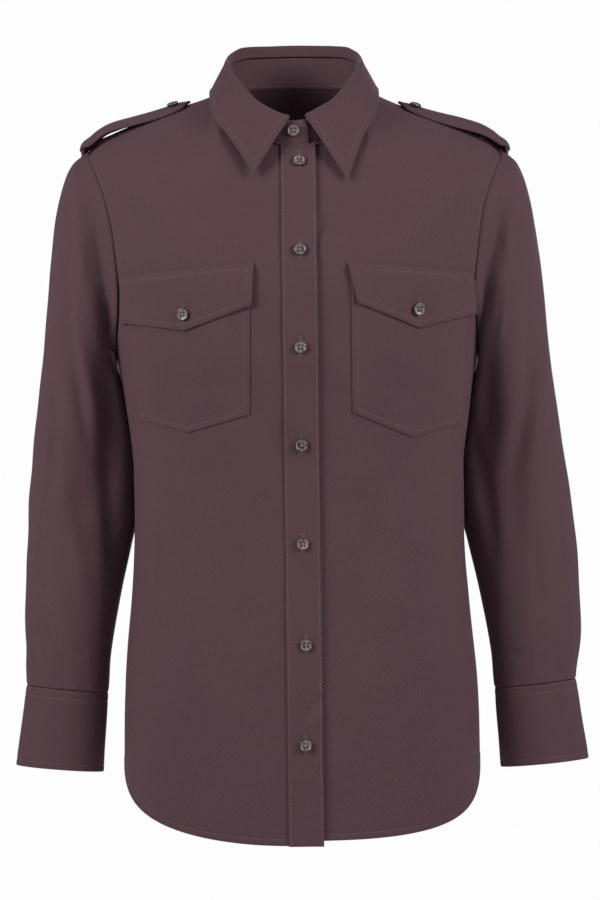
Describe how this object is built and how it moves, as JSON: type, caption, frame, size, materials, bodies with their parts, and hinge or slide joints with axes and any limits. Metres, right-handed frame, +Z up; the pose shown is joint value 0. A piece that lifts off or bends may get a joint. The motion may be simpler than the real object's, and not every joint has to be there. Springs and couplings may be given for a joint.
{
  "type": "shirt",
  "caption": "Long-sleeved utility shirt in plain brown twill, worn form with no wearer: collar, buttoned placket, flap pockets, shoulder straps, deep cuffs and a curved hem.",
  "frame": {"origin": "middle of the neck opening, level with the inner ends of the shoulder seams", "axes": "+X to the wearer's left, +Y to the wearer's back, +Z up; the buttoned front faces -Y"},
  "size_m": [0.5494, 0.2267, 0.7662],
  "materials": {
    "shirt_twill": "fine matte twill, dark reddish brown",
    "button": "polished grey-brown horn look"
  },
  "bodies": {
    "root": {"front_right": "shirt_twill", "front_left": "shirt_twill", "back": "shirt_twill", "front_placket": "shirt_twill", "collar_stand": "shirt_twill", "collar": "shirt_twill", "sleeve_right": "shirt_twill", "sleeve_left": "shirt_twill", "sleeve_placket_right": "shirt_twill", "sleeve_placket_left": "shirt_twill", "cuff_right": "shirt_twill", "cuff_left": "shirt_twill", "pocket_right": "shirt_twill", "pocket_left": "shirt_twill", "flap_right": "shirt_twill", "flap_left": "shirt_twill", "epaulette_right": "shirt_twill", "epaulette_left": "shirt_twill", "button_collar": "button", "button_front_1": "button", "button_front_2": "button", "button_front_3": "button", "button_front_4": "button", "button_front_5": "button", "button_front_6": "button", "button_front_7": "button", "button_flap_right": "button", "button_flap_left": "button", "button_epaulette_right": "button", "button_epaulette_left": "button", "button_cuff_right": "button", "button_cuff_left": "button"}
  },
  "joints": []
}
